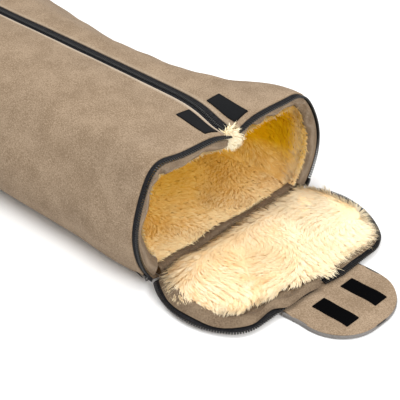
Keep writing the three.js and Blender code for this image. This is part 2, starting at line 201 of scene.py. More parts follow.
def soften(points, back, side):
    """The slack of the real felt: puffed panels beside a sunken zip, and a squarer near corner."""
    x, y, z = points.T
    off_middle = y - middle_y(back)
    high = ease(z, 120, 175)
    near_mouth = hump(back, 0, 95)
    puff = (3.5 + 5.5 * ease(back, 85, 150)) * (1 - hump(off_middle, 0, 24))
    puff = puff * hump(np.abs(off_middle), 70, 62)
    dip = -11 * hump(back, 26, 34) * hump(off_middle, 0, 26)
    left_corner = 13 * hump(off_middle, -142, 36) * near_mouth
    right_corner = 4 * hump(off_middle, 150, 34) * near_mouth
    wave = 2.2 * ripple(points, 170, 5) + np.where(side > 0, 0.9, 0.6) * ripple(points, 62, 6)
    wave = wave * ease(back, 30, 120) * ease(z, 30, 90) * (1 - hump(off_middle, 0, 22))
    shift = zip_shift(back) * ease(z, 60, 175)
    droop = ease(back, 10, 230) * (1 - 0.6 * ease(back, 330, 680)) * ease(z, 40, 165) * (side > 0)
    sunk = -42 * droop * ease(off_middle, 8, 150)
    drawn_in = -28 * droop * ease(off_middle, 40, 150) + shift
    slump = -(9 * hump(back, 75, 60) + 4 * ease(back, 60, 200)) * (1 - ease(z, 70, 150)) * (side < 0)
    slump = slump * ease(-off_middle, 60, 160)
    lift = high * (puff + dip + left_corner + right_corner) + wave * high + sunk
    lean_out = np.where(side < 0, -6, -3) * near_mouth * ease(z, 60, 170) * ease(np.abs(off_middle), 60, 150)
    bulge = side * wave * (1 - high)
    return np.stack([x, y + lean_out + bulge + drawn_in + slump, z + lift], axis=-1)


def on_bag(back, turn, depth, side, edge=0.0, slack=True):
    """Points on the bag in millimetres. turn is 0 at the bottom's edge, 1 and 2 at the ends of the
    side, 3 at the top corner and 4 at the middle. depth is measured inwards from the felt."""
    back, turn, depth = np.broadcast_arrays(*(np.asarray(v, float) for v in (back, turn, depth)))
    flat = [v.ravel() for v in (back, turn, depth)]
    arcs = arcs_at(flat[0])
    part = np.clip(np.floor(flat[1]).astype(int), 0, 3)
    y, z, radius, start, end = (np.choose(part, [arc[i] for arc in arcs]) for i in range(5))
    end = np.where(part == 3, np.arccos(edge / radius), end)
    angle = start + (end - start) * (flat[1] - part)
    stretch = top_height(flat[0]) / (arcs[3][1] + arcs[3][2])
    points = np.stack([
        MOUTH_X - flat[0],
        middle_y(flat[0]) + side * (y + (radius - flat[2]) * np.cos(angle)),
        stretch * (z + (radius - flat[2]) * np.sin(angle)),
    ], axis=-1)
    if slack:
        points = soften(points, flat[0], side)
    return points.reshape(*back.shape, 3)


def on_crown(back, off_middle, depth, side):
    """Points on the top of the bag, by their distance from its middle line."""
    back, off, depth = np.broadcast_arrays(*(np.asarray(v, float) for v in (back, off_middle, depth)))
    flat = [v.ravel() for v in (back, off, depth)]
    _, z, radius, _, _ = arcs_at(flat[0])[3]
    angle = np.arccos(np.clip(flat[1] / radius, -1, 1))
    stretch = top_height(flat[0]) / (z + radius)
    points = np.stack([
        MOUTH_X - flat[0],
        middle_y(flat[0]) + side * (radius - flat[2]) * np.cos(angle),
        stretch * (z + (radius - flat[2]) * np.sin(angle)),
    ], axis=-1)
    return soften(points, flat[0], side).reshape(*back.shape, 3)


def flat_edge(back):
    return arcs_at(np.asarray(back, float))[0][0]


def bent_grid(name, us, vs, place):
    """A grid whose points are bent into place(u, v), which works on whole arrays in millimetres."""
    bpy.ops.object.select_all(action="DESELECT")
    bpy.ops.mesh.primitive_grid_add(x_subdivisions=len(us) - 1, y_subdivisions=len(vs) - 1, size=2)
    piece = bpy.context.object
    piece.name = name
    count = len(piece.data.vertices)
    flat = np.empty(count * 3)
    piece.data.vertices.foreach_get("co", flat)
    flat = flat.reshape(count, 3)
    u = np.asarray(us, float)[np.rint((flat[:, 0] + 1) / 2 * (len(us) - 1)).astype(int)]
    v = np.asarray(vs, float)[np.rint((flat[:, 1] + 1) / 2 * (len(vs) - 1)).astype(int)]
    piece.data.vertices.foreach_set("co", (place(u, v) * MM).ravel())
    piece.data.update()
    return piece


def pick(piece):
    bpy.ops.object.select_all(action="DESELECT")
    piece.select_set(True)
    bpy.context.view_layer.objects.active = piece


def apply_modifier(piece, kind, **settings):
    modifier = piece.modifiers.new(kind.lower(), kind)
    for key, value in settings.items():
        setattr(modifier, key, value)
    pick(piece)
    bpy.ops.object.modifier_apply(modifier=modifier.name)


def face_outwards(piece):
    pick(piece)
    bpy.ops.object.mode_set(mode="EDIT")
    bpy.ops.mesh.select_all(action="SELECT")
    bpy.ops.mesh.normals_make_consistent(inside=False)
    bpy.ops.object.mode_set(mode="OBJECT")


def sheet_of(name, us, vs, place, thickness, rounding=0.35):
    """A bent sheet. Its middle layer lies half its thickness deep in `place`; its edges are softened."""
    piece = bent_grid(name, us, vs, lambda u, v: place(u, v, thickness / 2))
    apply_modifier(piece, "SOLIDIFY", thickness=thickness * MM, offset=0)
    face_outwards(piece)
    if rounding:
        apply_modifier(
            piece, "BEVEL", width=rounding * thickness * MM, segments=2, limit_method="ANGLE", angle_limit=1.0
        )
    bpy.ops.object.shade_smooth_by_angle(angle=math.radians(50))
    return piece


def steps(start, end, size):
    return np.linspace(start, end, max(2, int(round(abs(end - start) / size)) + 1))


class Socket:
    """A shader value. Sums and products of sockets add the Math nodes that they stand for."""

    def __init__(self, tree, link):
        self.tree = tree
        self.link = link

    def _math(self, operation, *values):
        node = self.tree.nodes.new("ShaderNodeMath")
        node.operation = operation
        for slot, value in zip(node.inputs, values):
            if isinstance(value, Socket):
                self.tree.links.new(value.link, slot)
            else:
                slot.default_value = value
        return Socket(self.tree, node.outputs[0])

    def __add__(self, other):
        return self._math("ADD", self, other)

    def __radd__(self, other):
        return self._math("ADD", other, self)

    def __sub__(self, other):
        return self._math("SUBTRACT", self, other)

    def __rsub__(self, other):
        return self._math("SUBTRACT", other, self)

    def __mul__(self, other):
        return self._math("MULTIPLY", self, other)

    def __rmul__(self, other):
        return self._math("MULTIPLY", other, self)

    def clamped(self):
        node = self._math("ADD", self, 0.0)
        node.link.node.use_clamp = True
        return node


class Finish:
    """One material. Numbers that are the same all over go straight to the shader's sockets."""

    def __init__(self, name, fixed):
        self.material = bpy.data.materials.new(name)
        self.material.use_nodes = True
        self.tree = self.material.node_tree
        self.shader = self.tree.nodes["Principled BSDF"]
        for key, value in fixed.items():
            self.shader.inputs[key].default_value = value
        self.place = self.add("ShaderNodeTexCoord", {}, {}, "Object")

    def add(self, kind, settings, sockets, output=0):
        node = self.tree.nodes.new(kind)
        for key, value in settings.items():
            setattr(node, key, value)
        for key, value in sockets.items():
            if isinstance(value, Socket):
                self.tree.links.new(value.link, node.inputs[key])
            else:
                node.inputs[key].default_value = value
        return Socket(self.tree, node.outputs[output])

    def noise(self, scale, detail=2.0, stretch=None):
        at = self.place
        if stretch:
            at = self.add("ShaderNodeMapping", {}, {"Vector": at, "Scale": stretch})
        return self.add("ShaderNodeTexNoise", {}, {"Vector": at, "Scale": scale, "Detail": detail})

    def spread(self, value, low, high):
        """The value between low and high, stretched to run from 0 to 1."""
        return self.add("ShaderNodeMapRange", {}, {0: value, 1: low, 2: high, 3: 0.0, 4: 1.0})

    def blend(self, factor, first, second):
        node = self.tree.nodes.new("ShaderNodeMix")
        node.data_type = "RGBA"
        for slot, value in ((0, factor), (6, first), (7, second)):
            if isinstance(value, Socket):
                self.tree.links.new(value.link, node.inputs[slot])
            else:
                node.inputs[slot].default_value = value
        return Socket(self.tree, node.outputs[2])

    def attribute(self, name):
        return self.add("ShaderNodeAttribute", {"attribute_name": name}, {}, "Fac")

    def set(self, name, value):
        self.tree.links.new(value.link, self.shader.inputs[name])

    def bump(self, height, strength, distance):
        self.set("Normal", self.add("ShaderNodeBump", {}, {
            "Height": height, "Strength": strength, "Distance": distance,
        }, "Normal"))


def srgb(red, green, blue):
    def linear(value):
        value /= 255
        return value / 12.92 if value <= 0.04045 else ((value + 0.055) / 1.055) ** 2.4
    return (linear(red), linear(green), linear(blue), 1)


def felt_finish(name, dark, middle, light, clouds=0.5):
    """Boiled wool in mixed fibres: soft clouds, a fine mottle, and single dark and pale hairs."""
    felt = Finish(name, {"Roughness": 0.95, "Specular IOR Level": 0.1, "Sheen Weight": 0.04})
    cloud = felt.noise(30, 3)
    mottle = felt.noise(520, 3)
    fine = felt.noise(980, 2)
    fibres = felt.noise(420, 3, (1, 2.6, 1.6))
    tone = felt.blend(felt.spread(mottle + (cloud - 0.5) * clouds, 0.34, 0.68), dark, light)
    tone = felt.blend(0.45, tone, middle)
    dark_hair = [c * 0.52 for c in dark[:3]] + [1]
    pale_hair = [min(1, c * 1.35) for c in light[:3]] + [1]
    tone = felt.blend(felt.spread(fine, 0.60, 0.70) * 0.42, tone, dark_hair)
    tone = felt.blend(felt.spread(fibres, 0.60, 0.72) * 0.5, tone, pale_hair)
    # Where "edge" is painted the felt is lightened towards a pale beige: a painted highlight beside the zip,
    # along the facings' rolled edges and on the lip's top. The bindings are only made a little paler all
    # over.
    felt.set("Base Color", felt.blend(felt.attribute("edge") * 0.6, tone, srgb(214, 201, 184)))
    felt.bump(mottle * 0.6 + fine * 0.4, 0.45, 0.0012)
    return felt.material


felt = felt_finish("beige wool felt", srgb(112, 93, 72), srgb(141, 121, 99), srgb(169, 149, 126))


def paint(piece, name, values):
    """Stores a number for each point of a piece, or one for all, for its material to read."""
    values = np.broadcast_to(values, len(piece.data.vertices))
    layer = piece.data.attributes.new(name, "FLOAT", "POINT")
    layer.data.foreach_set("value", np.ascontiguousarray(values, dtype=np.float32))


def points_of(piece):
    flat = np.empty(len(piece.data.vertices) * 3)
    piece.data.vertices.foreach_get("co", flat)
    return flat.reshape(-1, 3) / MM


def finish_piece(piece, material, body, slot, *nodes):
    piece.data.materials.clear()
    piece.data.materials.append(material)
    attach(piece, body)
    if nodes:
        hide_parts(*nodes)


SECTION_TURNS = np.concatenate([
    np.linspace(0, 1, 7), np.linspace(1, 2, 17)[1:], np.linspace(2, 3, 11)[1:], np.linspace(3, 4, 17)[1:]
])
FELT_START = 10.5
BAG_BACKS = np.concatenate([steps(FELT_START, 200, 8), steps(212, FRONT_LENGTH, 14)])
for name, side in SIDES:
    panel = sheet_of(
        f"felt_front_{name}", BAG_BACKS, SECTION_TURNS,
        lambda back, turn, depth, side=side: on_bag(back, turn, depth, side, ZIP_GROOVE), FELT,
    )
    at = points_of(panel)
    back = MOUTH_X - at[:, 0]
    from_zip = np.abs(at[:, 1] - middle_y(back) - zip_shift(back)) - ZIP_GROOVE
    # Painted highlight: high on the bag, a strip of felt beside the zip is lightened where its raised edge
    # catches the light. It is strong on the left panel and faint on the right.
    paint(panel, "edge", (1 - ease(from_zip, 0.4, 4)) * (at[:, 2] > 150) * (0.9 if side < 0 else 0.25))
    finish_piece(panel, felt, "bag", "wool_felt", f"front_shell_{name}")


HEAD_HALF_WIDTH = 150
HEAD_ROUND = 110


def back_plan(back, across):
    """Points of the back panel's plan: across runs from -1 at the left edge to 1 at the right."""
    head = FRONT_LENGTH + 7
    body_half = flat_edge(np.minimum(back, FRONT_LENGTH)) - 0.5
    turned = np.sqrt(np.clip(1 - np.clip((back - BASE_LENGTH + HEAD_ROUND) / HEAD_ROUND, 0, 1) ** 2, 0, 1))
    half = body_half + (HEAD_HALF_WIDTH - body_half) * ease(back, head - 4, head + 36)
    return middle_y(back) + across * half * turned


# The rounded head end needs its rows of points closer together towards the tip.
tip = BASE_LENGTH - HEAD_ROUND * (1 - np.sin(np.linspace(0, math.pi / 2 * 0.97, 14)))
BACK_BACKS = np.concatenate([steps(1, FRONT_LENGTH, 24), [767, 774, 782, 792, 803, 840, 870], tip])
ACROSS = np.linspace(-1, 1, 31)

under = sheet_of(
    "felt_back", BACK_BACKS, ACROSS,
    lambda back, across, depth: np.stack(
        [MOUTH_X - back, back_plan(back, across), depth + 0 * back], axis=-1
    ), FELT,
)
paint(under, "edge", 0)
finish_piece(under, felt, "bag", "wool_felt", "back_shell")


# ---- Bindings of the head end ----
# A strip of the same felt, folded over the raw edges of felt and lambskin where the body goes in.
# Each is a flattened roll along its edge, sewn through.
TAPE = 0.7
FIT = 0.4
PILE = 16.8
TAPE_DEPTH = FELT + FIT + 0.2
LINING_DEPTH = TAPE_DEPTH + TAPE + 2 * FIT
LINING_INSIDE = LINING_DEPTH + PILE
BINDING = 3


def roll(name, us, vs, wall):
    """A tube: us run along it and vs round it. wall(u, v) is in millimetres."""
    piece = bent_grid(name, us, vs, wall)
    apply_modifier(piece, "WELD", merge_threshold=0.05 * MM)
    bpy.ops.object.mode_set(mode="EDIT")
    bpy.ops.mesh.select_all(action="SELECT")
    bpy.ops.mesh.fill_holes(sides=0)
    bpy.ops.mesh.normals_make_consistent(inside=False)
    bpy.ops.object.mode_set(mode="OBJECT")
    bpy.ops.object.shade_smooth_by_angle(angle=math.radians(50))
    return piece


def rounded_box(turn, power=0.35):
    """A point of a box with rolled edges, from -1 to 1 both ways."""
    c, s = np.cos(turn), np.sin(turn)
    return np.sign(c) * np.abs(c) ** power, np.sign(s) * np.abs(s) ** power


RING = np.linspace(0, 2 * math.pi, 21)
for name, side in SIDES:
    def side_wall(turn, ring, side=side):
        along, through = rounded_box(ring)
        back = FRONT_LENGTH + FIT + BINDING / 2 + along * BINDING / 2
        return on_bag(back, turn, LINING_INSIDE / 2 + through * LINING_INSIDE / 2, side, ZIP_GROOVE)
    binding = roll(f"head_edge_{name}", SECTION_TURNS, RING, side_wall)
    paint(binding, "edge", 0.15)
    finish_piece(binding, felt, "bag", "wool_felt", f"head_binding_{name}")


def head_wall(turn, ring):
    outward, up = rounded_box(ring)
    reach = HEAD_ROUND - BINDING / 2 + outward * BINDING / 2
    wide = HEAD_HALF_WIDTH - BINDING / 2 + outward * BINDING / 2
    back = BASE_LENGTH - HEAD_ROUND + reach * np.cos(turn)
    height = (LINING_INSIDE + FELT + FIT) / 2 + up * (LINING_INSIDE - FELT - FIT) / 2
    return np.stack([MOUTH_X - back, middle_y(back) + wide * np.sin(turn), height], axis=-1)


head_edge = roll("head_edge_back", np.linspace(-math.pi / 2, math.pi / 2, 61), RING, head_wall)
paint(head_edge, "edge", 0.15)
finish_piece(head_edge, felt, "bag", "wool_felt", "back_binding")


# ---- Main zip ----
# Two woven tapes with a row of moulded teeth on each, closed up the middle of the front.
# The teeth of one side sit in the gaps of the other. A stop closes each end.
CHAIN_WIDTH = 2.85
CHAIN_THICKNESS = 2.8
CHAIN_DEPTH = TAPE_DEPTH + TAPE + FIT / 2 - CHAIN_THICKNESS
TAPE_TUCK = 9
LINING_START = ZIP_MARGIN + TAPE_TUCK
MAIN_START = LINING_START + 2
MAIN_END = FRONT_LENGTH - 2
PITCH = 3.0

woven = Finish("black woven tape", {"Roughness": 0.8, "Specular IOR Level": 0.15})
warp = woven.noise(900, 1, (1, 0.2, 1))
woven.set("Base Color", woven.blend(woven.spread(warp, 0.35, 0.65), srgb(17, 17, 19), srgb(38, 38, 41)))
woven.bump(warp, 0.4, 0.0004)

moulded = Finish("black moulded teeth", {"Roughness": 0.38, "Specular IOR Level": 0.5})
moulded.set("Base Color", moulded.blend(moulded.noise(300), srgb(8, 8, 9), srgb(20, 20, 22)))


def tooth_shape():
    """One tooth, 1 long, 1 wide and 1 high: a block with a waist behind its head, edges broken."""
    bpy.ops.object.select_all(action="DESELECT")
    bpy.ops.mesh.primitive_cube_add(size=1)
    tooth = bpy.context.object
    bpy.ops.object.mode_set(mode="EDIT")
    bpy.ops.mesh.bevel(offset=0.16, segments=1, affect="EDGES")
    bpy.ops.object.mode_set(mode="OBJECT")
    corners = points_of(tooth) * MM
    faces = [tuple(face.vertices) for face in tooth.data.polygons]
    bpy.data.objects.remove(tooth)
    corners[:, 0] *= 1 - 0.34 * (corners[:, 1] < -0.2)
    return corners, faces


TOOTH, TOOTH_FACES = tooth_shape()


def row_of(name, node, body, places, along, across, up, sizes):
    """Copies of the tooth, each with its own place, directions and (length, width, height)."""
    count = len(places)
    sizes = np.broadcast_to(np.asarray(sizes, float), (count, 3))
    axes = [axis / np.linalg.norm(axis, axis=1)[:, None] * sizes[:, i:i + 1]
            for i, axis in enumerate((along, across, up))]
    points = places[:, None] + sum(axes[i][:, None] * TOOTH[None, :, i, None] for i in range(3))
    mesh = bpy.data.meshes.new(name)
    shift = np.arange(count)[:, None] * len(TOOTH)
    loops = [[tuple(i + base for i in face) for face in TOOTH_FACES] for base in shift[:, 0].tolist()]
    mesh.from_pydata((points.reshape(-1, 3) * MM).tolist(), [], [face for group in loops for face in group])
    finish_piece(new_object(name, mesh), moulded.material, body, "zip_teeth", node)


def on_chain(backs, off_middle, lift, side):
    """Places on the zip's chain, and its directions there: along, towards the middle, and up."""
    def at(back, off, depth=0):
        return on_crown(back, off, CHAIN_DEPTH + lift + depth, side)
    here = at(backs, off_middle)
    along = at(backs + 0.5, off_middle) - here
    return here, along, here - at(backs, off_middle + 1), here - at(backs, off_middle, 1)


def zip_tape(name, us, vs, place, node, body="bag"):
    piece = sheet_of(name, us, vs, place, TAPE, 0.2)
    finish_piece(piece, woven.material, body, "zip_tape", node)


MAIN_BACKS = steps(MAIN_START, MAIN_END, 9)
for name, side in SIDES:
    zip_tape(
        f"main_tape_{name}", MAIN_BACKS, np.linspace(0.3, ZIP_GROOVE + 7, 9),
        lambda back, off, depth, side=side: on_crown(back, off, TAPE_DEPTH - 1.2 + depth, side),
        f"main_zip_tape_{name}",
    )
    backs = np.arange(MAIN_START + 1 + (side > 0) * PITCH / 2, MAIN_END - 4, PITCH)
    middle = CHAIN_WIDTH / 2 + 0.1
    row_of(
        f"main_teeth_{name}", f"main_zip_teeth_{name}", "bag", *on_chain(backs, middle, -0.4, side),
        (1.75, CHAIN_WIDTH + 1.5, CHAIN_THICKNESS * 0.8),
    )
    row_of(
        f"top_stop_{name}", f"main_zip_top_stop_{name}", "bag",
        *on_chain(np.array([MAIN_END - 1.5]), middle, 0.6, side), (3, CHAIN_WIDTH, 3),
    )

here, along, _, up = on_chain(np.array([MAIN_START - 2.0]), 0.0, 0, 1)
straight_across = np.array([[0.0, 1, 0]])
row_of(
    "bottom_stop", "main_zip_bottom_stop", "bag", here, along, straight_across, up,
    (3, 2 * CHAIN_WIDTH, 3),
)


# ---- Sliders and their pulls ----
# Each slider is a cast body, wider at the mouth than at the tail, with a raised bridge that holds
# a flat pull. They are painted black like the teeth.
metal = Finish("black lacquered slider", {"Roughness": 0.32, "Coat Weight": 0.3})
metal.set("Base Color", metal.blend(metal.noise(120), srgb(18, 18, 19), srgb(34, 34, 36)))


def framed(name, centre, along, across, up):
    """Moves the active piece, made round the origin in millimetres, to its place in the frame.
    Each slider and pull rides on the body of its own name."""
    piece = bpy.context.object
    piece.name = name
    at = points_of(piece) * MM
    axes = np.stack([np.asarray(axis, float) / np.linalg.norm(axis) for axis in (along, across, up)])
    piece.data.vertices.foreach_set("co", ((at @ axes + centre) * MM).ravel())
    piece.data.update()
    face_outwards(piece)
    bpy.ops.object.shade_smooth_by_angle(angle=math.radians(40))
    finish_piece(piece, metal.material, name, "zip_teeth", name.replace("_", "_zip_", 1))


def slider_body(length, width, height):
    """The body along X with its nose at +X, and a bridge on top for the pull."""
    bpy.ops.object.select_all(action="DESELECT")
    bpy.ops.mesh.primitive_cube_add(size=1)
    body = bpy.context.object
    body.scale = (length, width, height * 0.62)
    bpy.ops.object.transform_apply(location=False, rotation=False, scale=True)
    bpy.ops.object.mode_set(mode="EDIT")
    bpy.ops.mesh.subdivide(number_cuts=5)
    bpy.ops.object.mode_set(mode="OBJECT")
    for vertex in body.data.vertices:
        along = vertex.co.x / length + 0.5
        vertex.co.y *= 0.66 + 0.34 * math.sin(math.pi * min(1, along * 0.62 + 0.1))
        vertex.co.z -= height * 0.19
        if along in (0, 1):
            vertex.co.z *= 0.9
    apply_modifier(body, "BEVEL", width=0.5, segments=2, limit_method="ANGLE", angle_limit=0.9)
    bpy.ops.mesh.primitive_torus_add(
        major_radius=length * 0.2, minor_radius=height * 0.1, major_segments=20, minor_segments=8,
        location=(-length * 0.02, 0, height * 0.06), rotation=(math.pi / 2, 0, 0),
    )
    bridge = bpy.context.object
    bpy.ops.object.transform_apply(location=True, rotation=True, scale=False)
    bridge.data.transform(Matrix.Diagonal((1.5, 1.6, 1.1, 1)))
    body.select_set(True)
    bpy.context.view_layer.objects.active = body
    bpy.ops.object.join()
    return body


def pull_tab(length, width, thickness):
    """A flat tapered tab along X from the slider, with a slot at the slider and a dished grip."""
    bpy.ops.object.select_all(action="DESELECT")
    bpy.ops.mesh.primitive_grid_add(x_subdivisions=26, y_subdivisions=8, size=1)
    tab = bpy.context.object
    for vertex in tab.data.vertices:
        along, across = vertex.co.x + 0.5, vertex.co.y * 2
        end_round = math.sqrt(max(0.05, 1 - max(0, (along - 0.9) / 0.1) ** 2 * 0.8))
        rounded = min(1.0, 0.55 + 2.2 * along) * end_round
        waist = 0.8 + 0.2 * math.sin(math.pi * along)
        vertex.co = (along * length, across * width / 2 * rounded * waist, 0)
    bpy.ops.object.mode_set(mode="EDIT")
    bpy.ops.mesh.select_all(action="DESELECT")
    bpy.ops.object.mode_set(mode="OBJECT")
    for face in tab.data.polygons:
        along = face.center.x / length
        face.select = bool(0.06 < along < 0.2 and abs(face.center.y) < width * 0.2)
    bpy.ops.object.mode_set(mode="EDIT")
    bpy.ops.mesh.delete(type="FACE")
    bpy.ops.object.mode_set(mode="OBJECT")
    apply_modifier(tab, "SOLIDIFY", thickness=thickness * 0.8, offset=0)
    apply_modifier(tab, "BEVEL", width=thickness * 0.18, segments=2, limit_method="ANGLE", angle_limit=0.9)
    for vertex in tab.data.vertices:
        along = vertex.co.x / length
        vertex.co.z *= 1 - 0.35 * math.exp(-((along - 0.72) / 0.14) ** 2)
    return tab


def middle_of(node):
    low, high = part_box(node)
    return (np.array(low) + np.array(high)) / 2 / MM


def corners_of(node):
    return [np.array(corner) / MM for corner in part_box(node)]


low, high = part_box("main_zip_slider")
size = (np.array(high) - np.array(low)) / MM
slider_body(size[0], size[1] - 1, size[2])
slipped = np.array([0, 8, 0])
framed(
    "main_slider", middle_of("main_zip_slider") + slipped, (-1, -LEAN, 0), (0, -1, 0), (0, 0, 1)
)

low, high = corners_of("main_zip_pull")
pull_tab(high[0] - low[0], 9, 1.8)
framed(
    "main_pull", (low[0], middle_of("main_zip_pull")[1] + 6.6, high[2] - 1.1),
    (40, 40 * LEAN, -4.2), (-LEAN, 1, 0), (4.2, 0, 40),
)

SIDE_ARC_Y = MOUTH["half_width"] - MOUTH["side_radius"]
for name, side in SIDES:
    centre = middle_of(f"foot_zip_slider_{name}")
    radial = np.array([0, centre[1] - side * SIDE_ARC_Y, centre[2] - MOUTH["widest_at"]])
    radial /= np.linalg.norm(radial)
    tangent = np.cross((1, 0, 0), radial)
    slider_body(13.5, 11, 5)
    framed(f"foot_slider_{name}", centre + radial * 1.6, -side * tangent, (1, 0, 0), radial)
    low, high = corners_of(f"foot_zip_pull_{name}")
    start = centre + radial * 4.4
    start[0] = high[0] - 1.2
    pull_tab(high[0] - low[0], 7, 1.6)
    framed(
        f"foot_pull_{name}", start, np.array([-24, 0, 0]) - radial * 2.6, tangent, radial * 24 - [2.6, 0, 0]
    )


# ---- Mouth zip on the bag ----
# The same tape and coarser teeth follow the rim of the mouth, one length on each side, from the
# fold up to the main zip. They are sewn to the inside of the felt.
RIM_PITCH = 3.7
RIM_TOOTH = (2.5, 4.4, 3.0)
RIM_TURNS = np.concatenate([np.linspace(0.86, 2, 28), np.linspace(2, 3, 13)[1:], np.linspace(3, 4, 25)[1:]])


def even_turns(curve, spacing, low, high):
    """Values between low and high whose points on the curve lie `spacing` apart."""
    fine = np.linspace(low, high, 1500)
    at = curve(fine)
    travelled = np.concatenate([[0], np.cumsum(np.linalg.norm(np.diff(at, axis=0), axis=1))])
    return np.interp(np.arange(spacing / 2, travelled[-1], spacing), travelled, fine)


for name, side in SIDES:
    zip_tape(
        f"mouth_tape_{name}", RIM_TURNS, np.linspace(4.2, 23, 6),
        lambda turn, back, depth, side=side: on_bag(back, turn, TAPE_DEPTH - 1.4 + depth, side, 8),
        f"mouth_zip_tape_{name}",
    )

    def rim(turn, back=2.6, depth=TAPE_DEPTH - 1.1, side=side):
        return on_bag(back, turn, depth, side, 8)
    turns = even_turns(rim, RIM_PITCH, 1.0, 4.0)
    here = rim(turns)
    row_of(
        f"mouth_teeth_{name}", f"mouth_zip_teeth_{name}", "bag", here, rim(turns + 0.002) - here,
        rim(turns, 1.6) - here, here - rim(turns, depth=TAPE_DEPTH), RIM_TOOTH,
    )


# ---- Facings of the mouth ----
# Bands of thinner felt sewn behind the zip. They roll over the front edge of the lambskin and
# pucker where the seam draws them in.
FACING = 1.8
facing_felt = felt_finish("mauve facing felt", srgb(86, 71, 56), srgb(112, 95, 77), srgb(140, 122, 101), 0.8)


def pucker(points, size, height, seed):
    return height * np.clip(ripple(points, size, seed), -1.6, 1.6)


FACING_SEAM = 4.6
FACING_STATIONS = [0, 0.12, 0.35, 0.6, 0.8, 1]
FACING_REACH = {-1: 1.3, 1: 0.86}
FACING_BACK = {-1: 27, 1: 17}


def rolled_over(v, side):
    """How far back and how deep a facing lies, from its seam at 0 to its free edge at 1."""
    share = np.interp(v, FACING_STATIONS, [0.02, 0, 0.13, 0.35, 0.6, 1])
    deep = np.interp(v, FACING_STATIONS, [4.6, 6.6, 11.5, 17, 20.5, 20])
    return FACING_SEAM + (FACING_BACK[side] - FACING_SEAM) * share, deep * FACING_REACH[side]


for name, side in SIDES:
    def rolled(turn, v, depth, side=side):
        back, deep = rolled_over(v, side)
        fold = np.stack([turn * 95, 12 * v, 0 * v], axis=-1)
        free = ease(v, 0.05, 0.4)
        back = back + free * pucker(fold, 34, 2.8, 11 + side)
        return on_bag(back, turn, deep + 0.4 + depth + free * pucker(fold, 26, 2.0, 21 + side), side, 9)
    facing = sheet_of(
        f"facing_{name}", even_turns(lambda t: on_bag(15, t, 15, side), 5, 0.72, 3.999),
        np.linspace(0, 1, 13), rolled, FACING,
    )
    # Painted highlight: a thin pale line along the front of the facing's roll, where it catches the light.
    paint(facing, "edge", 0.25 * hump(np.abs(points_of(facing)[:, 0] - MOUTH_X + 6), 0, 1.5))
    finish_piece(facing, facing_felt, "bag", "facing_felt", f"mouth_facing_{name}")


LIP_STATIONS = [0, 0.3, 0.7, 0.88, 1]


def lip(y, v, depth):
    fold = np.stack([0 * y, y, 10 * v], axis=-1)
    out = MOUTH_X - np.interp(v, LIP_STATIONS, [7.0, 5.4, 7.5, 11, 20])
    up = np.interp(v, LIP_STATIONS, [4.6, 8.0, 14.5, 17.2, 15.8]) + depth * 0.4
    free = ease(v, 0.1, 0.6)
    x = out + free * pucker(fold, 46, 2.4, 31)
    return np.stack([x - depth * 0.6, y, up + free * pucker(fold, 38, 1.4, 32)], axis=-1)


facing = sheet_of("facing_bottom", np.linspace(-139, 139, 70), np.linspace(0, 1, 11), lip, FACING)
# Painted highlight: the top of the lip's roll is lightened, where it faces the light.
paint(facing, "edge", 0.35 * ease(points_of(facing)[:, 2], 19, 23))
finish_piece(facing, facing_felt, "bag", "facing_felt", "mouth_facing_bottom")


# ---- Fold of the foot flap ----
# The back felt runs on past the mouth as the flap. This strip is the fold itself.
HINGE_HEIGHT = 12
FOLD_STATIONS = [0, 0.25, 0.5, 0.75, 1]


def fold_strip(y, v, depth):
    x = MOUTH_X + np.interp(v, FOLD_STATIONS, [-8, -3, 1.5, 6, 13])
    up = np.interp(v, FOLD_STATIONS, [4.0, 4.0, 5.2, 10.6, 12.2])
    return np.stack([x, y, up + depth + 0.5 * np.sin(y / 17) * hump(v, 0.5, 0.3)], axis=-1)


fold = sheet_of("hinge_fold", np.linspace(-144, 144, 60), np.linspace(0, 1, 11), fold_strip, 2.2)
paint(fold, "edge", 0)
fold.data.materials.append(felt)
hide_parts("hinge_strip")
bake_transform(fold)


# ---- Lambskin lining ----
# Shorn lambskin with its skin to the felt. Each panel is a springy base with locks of wool on it,
# which lean and gather into clumps. The wool at the mouth's edge is painted paler, a painted highlight
# where the pile's edges catch the light. Deeper in, it is painted a saturated gold, painted shade for
# the light bounced round the cavity.
BASE = 11.5


def fleece_finish(name, deep, middle, pale):
    # Every lambskin glows faintly in its own colour (its emission, given the base colour below): painted
    # light that lifts the shade between the locks.
    wool = Finish(name, {"Roughness": 1.0, "Specular IOR Level": 0.05, "Emission Strength": 0.045})
    streak = wool.noise(26, 3, (1, 0.6, 1))
    patch = wool.noise(9, 2)
    strand = wool.attribute("along") * 0.55 + wool.attribute("tone") * 0.4
    tone = wool.blend(wool.spread(strand + (streak - 0.5) * 0.9, 0.05, 0.75), deep, middle)
    tone = wool.blend(wool.spread(strand + (patch - 0.5) * 1.3, 0.3, 1.1), tone, pale)
    # Painted shade: the saturated gold of the wool deep in the cavity, where light has bounced round it. The
    # "gold" attribute says where.
    shaded_gold = wool.blend(strand.clamped(), srgb(228, 172, 4), srgb(246, 210, 26))
    tone = wool.blend(wool.attribute("gold"), tone, shaded_gold)
    # Where "cream" is painted the wool turns pale. At the mouth's edge this is a painted highlight, where the
    # pile's edges catch the light. On the flap and the tuft it is the wool's own colour.
    tone = wool.blend(wool.attribute("cream"), tone, srgb(252, 241, 214))
    wool.set("Base Color", tone)
    # Painted glow: the emission takes the wool's own colour.
    wool.set("Emission Color", tone)
    return wool.material


golden = fleece_finish("golden lambskin", srgb(230, 184, 100), srgb(244, 212, 146), srgb(252, 235, 190))


def unit(vectors):
    return vectors / np.linalg.norm(vectors, axis=-1, keepdims=True)


def gild(piece):
    """Paints where the wool turns a deeper gold, as painted shade for the light bounced round inside the
    cavity: most up the walls and far behind the mouth.
    """
    x, _, z = points_of(piece).T
    back = MOUTH_X - x
    cavity_share = (back > 8) * (1 - 0.85 * ease(back, 450, 700))
    paint(piece, "gold", cavity_share * np.clip(0.7 * ease(back, 25, 170) + 0.95 * ease(z, 24, 74), 0, 1))


